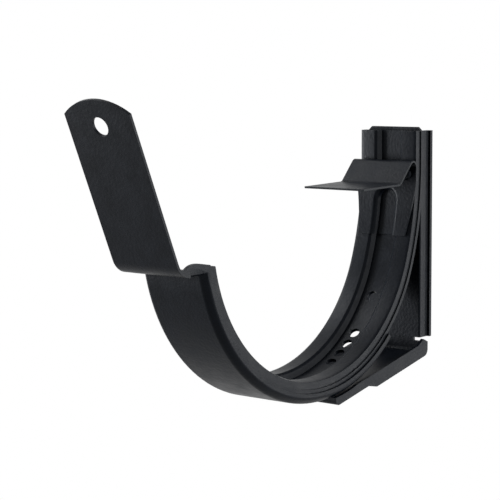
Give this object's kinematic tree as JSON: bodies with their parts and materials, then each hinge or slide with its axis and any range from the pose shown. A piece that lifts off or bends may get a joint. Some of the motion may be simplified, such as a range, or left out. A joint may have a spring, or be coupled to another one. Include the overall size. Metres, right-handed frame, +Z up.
{
  "type": "gutter bracket",
  "caption": "Half-round gutter bracket with a ribbed cradle, an upright front tab, a rear spring clip, a wall rail and a brace below.",
  "frame": {"origin": "middle of the wall rail's back, on the wall plane", "axes": "+Y into the wall, +Z up, X along the gutter and across the strap"},
  "size_m": [0.031, 0.187, 0.1228],
  "materials": {
    "coated_steel": "semi-gloss black powder coat"
  },
  "bodies": {
    "root": {"front_strap": "coated_steel", "cradle_profile": "coated_steel", "rear_clip": "coated_steel", "wall_rail": "coated_steel", "brace": "coated_steel", "rivets": "coated_steel"}
  },
  "joints": []
}
